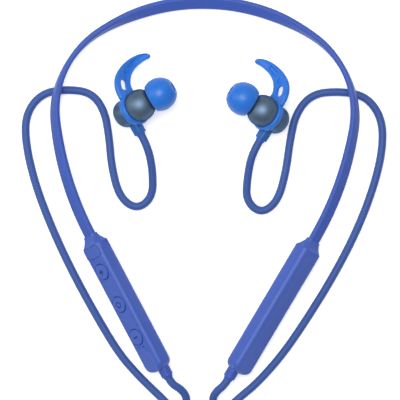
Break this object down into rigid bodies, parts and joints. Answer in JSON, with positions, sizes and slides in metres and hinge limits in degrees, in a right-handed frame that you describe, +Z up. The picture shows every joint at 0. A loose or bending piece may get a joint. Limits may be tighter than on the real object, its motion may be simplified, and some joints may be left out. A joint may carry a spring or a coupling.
{
  "type": "neckband earphones",
  "caption": "Wireless neckband earphones: a springy flat band with a control pod and a battery pod, and two corded earbuds with silicone fins and tips.",
  "frame": {"origin": "middle of the box of the object without its cords, on the surface it lies on", "axes": "+Y towards the back of the neck, +X the right-hand arm in the view from above, +Z up from the surface"},
  "size_m": [0.1467, 0.1677, 0.0193],
  "materials": {
    "band_silicone": "soft matte blue silicone with a fine satin skin",
    "spring_steel": "rolled spring steel strip",
    "copper_wire": "enamelled copper strands",
    "pod_plastic": "rubber-touch coated blue plastic",
    "key_plastic": "rubber-touch coated blue plastic, moulded symbol",
    "cover_silicone": "soft matte blue silicone",
    "cord_sleeve": "satin blue elastomer jacket",
    "circuit_board": "green solder mask",
    "chip_black": "black moulded packages",
    "antenna_ceramic": "white ceramic",
    "plated_steel": "nickel-plated steel",
    "magnet_nickel": "nickel-plated magnet",
    "diaphragm_film": "thin polymer film",
    "battery_foil": "laminated foil pouch",
    "battery_foam": "closed-cell foam",
    "housing_metal": "satin blue-grey metallic",
    "rear_metal": "light blue-grey metallic",
    "stem_plastic": "satin blue plastic",
    "ear_silicone": "translucent bright blue silicone"
  },
  "bodies": {
    "neckband_back": {"band_skin_back": "band_silicone", "spring_core_back": "spring_steel", "band_wires_back": "copper_wire"},
    "left_arm": {"left_band_skin": "band_silicone", "left_spring_core": "spring_steel", "left_band_wires": "copper_wire", "left_pod_shell": "pod_plastic", "left_pod_lid": "pod_plastic", "left_pod_relief": "cord_sleeve", "left_cord": "cord_sleeve", "left_front_housing": "housing_metal", "left_nozzle_mesh": "plated_steel", "left_rear_housing": "stem_plastic", "left_rear_cap": "rear_metal", "left_rear_magnet": "magnet_nickel", "left_driver_frame": "plated_steel", "left_driver_magnet": "magnet_nickel", "left_driver_diaphragm": "diaphragm_film", "left_stem_relief": "cord_sleeve", "main_board": "circuit_board", "bluetooth_chips": "chip_black", "antenna": "antenna_ceramic", "dome_switches": "plated_steel", "microphone": "plated_steel", "charging_socket": "plated_steel"},
    "right_arm": {"right_band_skin": "band_silicone", "right_spring_core": "spring_steel", "right_band_wires": "copper_wire", "right_pod_shell": "pod_plastic", "right_pod_lid": "pod_plastic", "right_pod_relief": "cord_sleeve", "right_cord": "cord_sleeve", "right_front_housing": "housing_metal", "right_nozzle_mesh": "plated_steel", "right_rear_housing": "stem_plastic", "right_rear_cap": "rear_metal", "right_rear_magnet": "magnet_nickel", "right_driver_frame": "plated_steel", "right_driver_magnet": "magnet_nickel", "right_driver_diaphragm": "diaphragm_film", "right_stem_relief": "cord_sleeve", "battery_cell": "battery_foil", "protection_board": "circuit_board", "battery_foam": "battery_foam"},
    "volume_up_button": {"volume_up_key": "key_plastic"},
    "call_button": {"call_key": "key_plastic"},
    "volume_down_button": {"volume_down_key": "key_plastic"},
    "charging_cover": {"port_cover": "cover_silicone"},
    "left_tip": {"left_ear_tip": "ear_silicone"},
    "right_tip": {"right_ear_tip": "ear_silicone"},
    "left_fin": {"left_ear_fin": "ear_silicone"},
    "right_fin": {"right_ear_fin": "ear_silicone"}
  },
  "joints": [
    {"name": "left_arm_flex", "type": "hinge", "parent": "neckband_back", "child": "left_arm", "pos_m": [-0.05027, 0.05338, 0.00555], "axis": [0, 0, -1], "range_deg": [0, 20], "stiffness_Nm_per_rad": 0.6},
    {"name": "right_arm_flex", "type": "hinge", "parent": "neckband_back", "child": "right_arm", "pos_m": [0.05027, 0.05338, 0.00555], "axis": [0, 0, 1], "range_deg": [0, 20], "stiffness_Nm_per_rad": 0.6},
    {"name": "volume_up_press", "type": "slide", "parent": "left_arm", "child": "volume_up_button", "axis": [0.6063, 0.3391, -0.7193], "range_m": [0, 0.00035], "stiffness_N_per_m": 300},
    {"name": "call_press", "type": "slide", "parent": "left_arm", "child": "call_button", "axis": [0.6063, 0.3391, -0.7193], "range_m": [0, 0.00035], "stiffness_N_per_m": 300},
    {"name": "volume_down_press", "type": "slide", "parent": "left_arm", "child": "volume_down_button", "axis": [0.6063, 0.3391, -0.7193], "range_m": [0, 0.00035], "stiffness_N_per_m": 300},
    {"name": "charging_cover_hinge", "type": "hinge", "parent": "left_arm", "child": "charging_cover", "pos_m": [-0.04491, -0.02676, 0.00802], "axis": [-0.6278, -0.3512, -0.6947], "range_deg": [0, 100]},
    {"name": "left_tip_pull", "type": "slide", "parent": "left_arm", "child": "left_tip", "axis": [0.8529, 0.4924, 0.1736], "range_m": [0, 0.01]},
    {"name": "right_tip_pull", "type": "slide", "parent": "right_arm", "child": "right_tip", "axis": [-0.8529, 0.4924, 0.1736], "range_m": [0, 0.01]},
    {"name": "left_fin_turn", "type": "hinge", "parent": "left_arm", "child": "left_fin", "pos_m": [-0.026, 0.03035, 0.011], "axis": [0.6436, 0.3716, 0.6691], "range_deg": [-10, 10]},
    {"name": "right_fin_turn", "type": "hinge", "parent": "right_arm", "child": "right_fin", "pos_m": [0.023, 0.02935, 0.011], "axis": [-0.6436, 0.3716, 0.6691], "range_deg": [-10, 10]}
  ]
}
